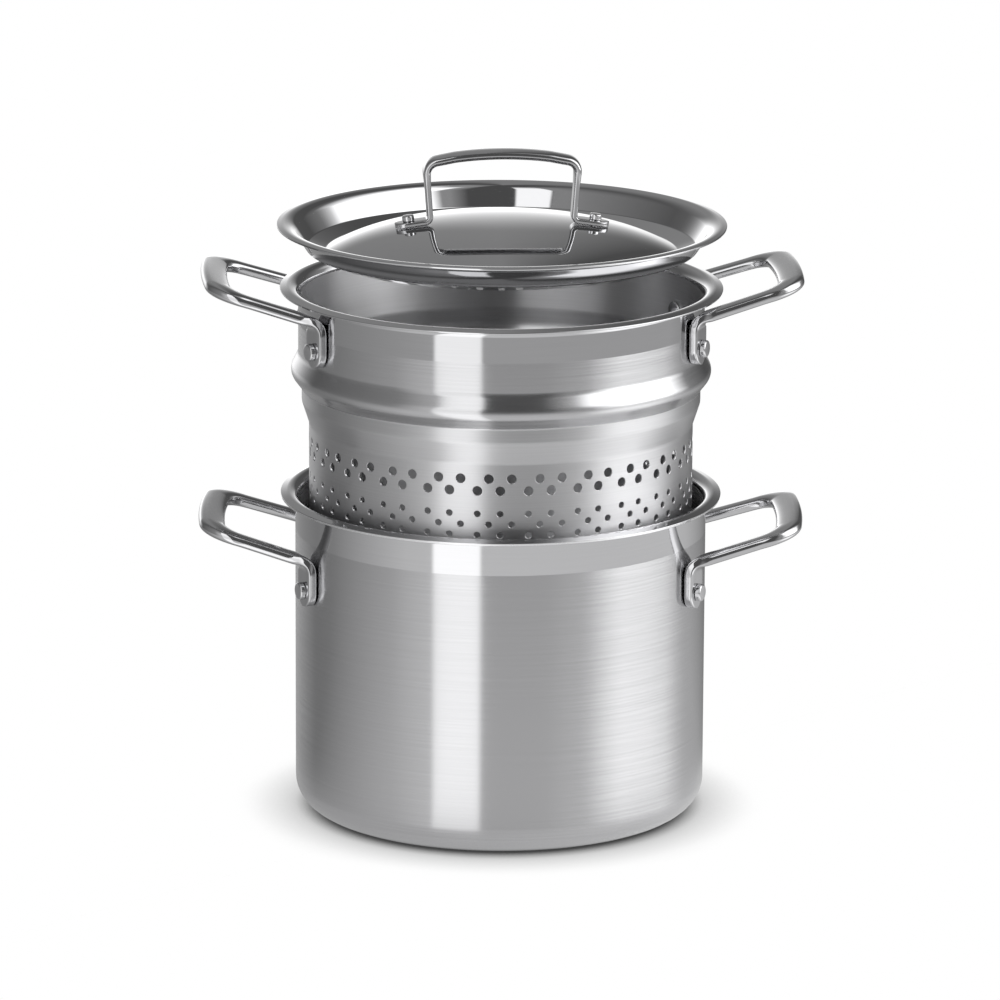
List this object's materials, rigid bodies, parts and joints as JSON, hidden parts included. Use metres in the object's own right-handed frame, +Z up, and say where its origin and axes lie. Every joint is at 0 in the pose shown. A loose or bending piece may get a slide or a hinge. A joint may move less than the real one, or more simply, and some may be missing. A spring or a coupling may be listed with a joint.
{
  "type": "pasta pot",
  "caption": "Stainless steel pasta pot with loop handles, a lift-out perforated strainer insert and a recessed lid with an arched handle.",
  "frame": {"origin": "centre of the pot's flat underside, on the surface that it stands on", "axes": "+Z up; the pot's two loop handles lie along X; +Y points to the back, away from the picture's viewer"},
  "size_m": [0.301, 0.223, 0.3345],
  "materials": {
    "pot_outside_steel": "fine horizontal brushing below a mirror-polished band and lip",
    "pot_inside_steel": "satin inside wall and floor, mirror-polished lip",
    "core_aluminium": "plain sheet, sealed between the two steel layers",
    "handle_steel": "polished casting, with soft highlights",
    "rivet_steel": "polished head",
    "insert_steel": "fine horizontal brushing below a polished collar and lip, bright inside",
    "lid_steel": "mirror-polished dome, flange and groove"
  },
  "bodies": {
    "pot": {"pot_outer_steel": "pot_outside_steel", "pot_aluminium_core": "core_aluminium", "pot_inner_steel": "pot_inside_steel", "pot_handle_right": "handle_steel", "pot_handle_left": "handle_steel", "pot_rivet_right_front": "rivet_steel", "pot_rivet_right_back": "rivet_steel", "pot_rivet_left_front": "rivet_steel", "pot_rivet_left_back": "rivet_steel"},
    "insert": {"insert_basket": "insert_steel", "insert_handle_right": "handle_steel", "insert_handle_left": "handle_steel", "insert_rivet_right_front": "rivet_steel", "insert_rivet_right_back": "rivet_steel", "insert_rivet_left_front": "rivet_steel", "insert_rivet_left_back": "rivet_steel"},
    "lid": {"lid_disc": "lid_steel", "lid_handle": "handle_steel", "lid_rivet_left": "rivet_steel", "lid_rivet_right": "rivet_steel"}
  },
  "joints": [
    {"name": "insert_lift", "type": "slide", "parent": "pot", "child": "insert", "axis": [0, 0, 1], "range_m": [-0.0578, 0.16]},
    {"name": "lid_lift", "type": "slide", "parent": "insert", "child": "lid", "axis": [0, 0, 1], "range_m": [-0.0264, 0.1]}
  ]
}
